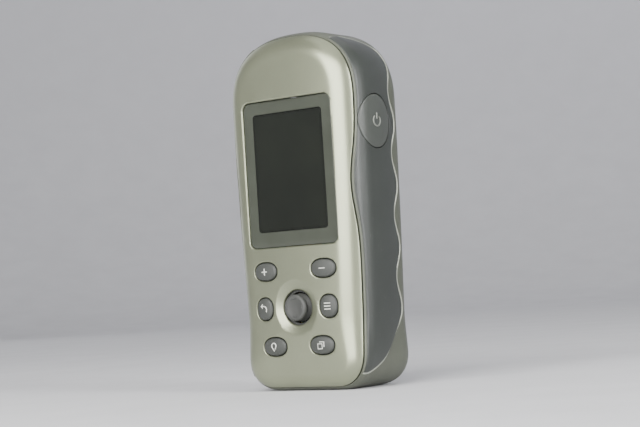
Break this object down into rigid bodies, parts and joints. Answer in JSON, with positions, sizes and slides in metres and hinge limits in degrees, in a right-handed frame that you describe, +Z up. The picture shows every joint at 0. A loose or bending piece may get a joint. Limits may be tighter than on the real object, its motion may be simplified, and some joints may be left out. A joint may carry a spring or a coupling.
{
  "type": "handheld gps unit",
  "caption": "Bar-type handheld satellite navigation receiver with display, keypad, thumb stick, side power button, rubber grips and a latched rear battery door.",
  "frame": {"origin": "centre of the flat bottom that the unit stands on", "axes": "+Z up along the body, the display faces -Y, +X is on the viewer's right"},
  "size_m": [0.0534, 0.0329, 0.117],
  "materials": {
    "front_plastic": "satin silver with a faint olive tint",
    "rear_plastic": "fine-textured olive grey",
    "grip_rubber": "matte moulded rubber",
    "key_rubber": "satin silicone rubber",
    "lens": "clear hard-coated window, dark with the display off",
    "mask_ink": "printed border",
    "foam": "closed-cell foam",
    "lcd": "display glass, off",
    "white_plastic": "moulded diffuser",
    "circuit_board": "solder-masked laminate",
    "chip": "moulded epoxy",
    "tin": "tinned sheet",
    "steel": "stainless, fine brushed",
    "silicone": "moulded silicone",
    "antenna_ceramic": "sintered, silvered top",
    "polyimide": "amber flex film",
    "cell_sleeve": "plain sleeve over a metal can",
    "door_plastic": "fine-textured olive grey",
    "cable_jacket": "thin coax jacket"
  },
  "bodies": {
    "housing": {"front_housing": "front_plastic", "rear_housing": "rear_plastic", "right_grip": "grip_rubber", "left_grip": "grip_rubber", "housing_seal": "silicone", "display_lens": "lens", "display_mask": "mask_ink", "display_gasket": "foam", "lcd_panel": "lcd", "lcd_backlight": "white_plastic", "lcd_flex_cable": "polyimide", "main_board": "circuit_board", "processor_chip": "chip", "memory_chip": "chip", "receiver_shield": "tin", "beeper": "chip", "backup_cell": "steel", "board_screw_1": "steel", "board_screw_2": "steel", "keypad_membrane": "silicone", "dome_sheet": "steel", "keypad_board": "circuit_board", "joystick_base": "chip", "power_switch": "chip", "antenna_patch": "antenna_ceramic", "antenna_board": "circuit_board", "antenna_shield": "tin", "antenna_bracket": "chip", "antenna_cable": "cable_jacket", "port_board": "circuit_board", "usb_socket": "tin", "door_seal": "silicone", "battery_left": "cell_sleeve", "battery_right": "cell_sleeve", "spring_left": "steel", "spring_right": "steel", "contact_bottom": "tin", "contact_top_left": "tin", "contact_top_right": "tin", "housing_screw_1": "steel", "housing_screw_2": "steel", "housing_screw_3": "steel", "housing_screw_4": "steel"},
    "power_button": {"power_button": "key_rubber"},
    "zoom_in": {"key_zoom_in": "key_rubber"},
    "zoom_out": {"key_zoom_out": "key_rubber"},
    "back": {"key_back": "key_rubber"},
    "menu": {"key_menu": "key_rubber"},
    "mark": {"key_mark": "key_rubber"},
    "page": {"key_page": "key_rubber"},
    "stick_gimbal": {"joystick_gimbal": "steel"},
    "thumb_stick": {"joystick_stick": "key_rubber"},
    "door": {"battery_door": "door_plastic"},
    "latch": {"latch_stud": "steel"},
    "ring": {"latch_ring": "steel"},
    "port_cover": {"port_cover": "door_plastic"}
  },
  "joints": [
    {"name": "power_press", "type": "slide", "parent": "housing", "child": "power_button", "axis": [-1, 0, 0], "range_m": [0, 0.0006], "stiffness_N_per_m": 1500},
    {"name": "zoom_in_press", "type": "slide", "parent": "housing", "child": "zoom_in", "axis": [0, 1, 0], "range_m": [0, 0.0005], "stiffness_N_per_m": 1500},
    {"name": "zoom_out_press", "type": "slide", "parent": "housing", "child": "zoom_out", "axis": [0, 1, 0], "range_m": [0, 0.0005], "stiffness_N_per_m": 1500},
    {"name": "back_press", "type": "slide", "parent": "housing", "child": "back", "axis": [0, 1, 0], "range_m": [0, 0.0005], "stiffness_N_per_m": 1500},
    {"name": "menu_press", "type": "slide", "parent": "housing", "child": "menu", "axis": [0, 1, 0], "range_m": [0, 0.0005], "stiffness_N_per_m": 1500},
    {"name": "mark_press", "type": "slide", "parent": "housing", "child": "mark", "axis": [0, 1, 0], "range_m": [0, 0.0005], "stiffness_N_per_m": 1500},
    {"name": "page_press", "type": "slide", "parent": "housing", "child": "page", "axis": [0, 1, 0], "range_m": [0, 0.0005], "stiffness_N_per_m": 1500},
    {"name": "stick_tilt_updown", "type": "hinge", "parent": "housing", "child": "stick_gimbal", "pos_m": [0, -0.0094, 0.027], "axis": [1, 0, 0], "range_deg": [-8, 8], "stiffness_Nm_per_rad": 0.05},
    {"name": "stick_tilt_sideways", "type": "hinge", "parent": "stick_gimbal", "child": "thumb_stick", "pos_m": [0, -0.0094, 0.027], "axis": [0, 0, 1], "range_deg": [-8, 8], "stiffness_Nm_per_rad": 0.05},
    {"name": "door_open", "type": "hinge", "parent": "housing", "child": "door", "pos_m": [0, 0.0155, 0.082], "axis": [1, 0, 0], "range_deg": [0, 70]},
    {"name": "latch_turn", "type": "hinge", "parent": "door", "child": "latch", "pos_m": [0, 0.0135, 0.0135], "axis": [0, 1, 0], "range_deg": [0, 90]},
    {"name": "ring_fold", "type": "hinge", "parent": "latch", "child": "ring", "pos_m": [0, 0.01575, 0.0135], "axis": [1, 0, 0], "range_deg": [0, 100]},
    {"name": "port_cover_open", "type": "hinge", "parent": "housing", "child": "port_cover", "pos_m": [0, 0.0155, 0.0965], "axis": [1, 0, 0], "range_deg": [0, 110]}
  ]
}
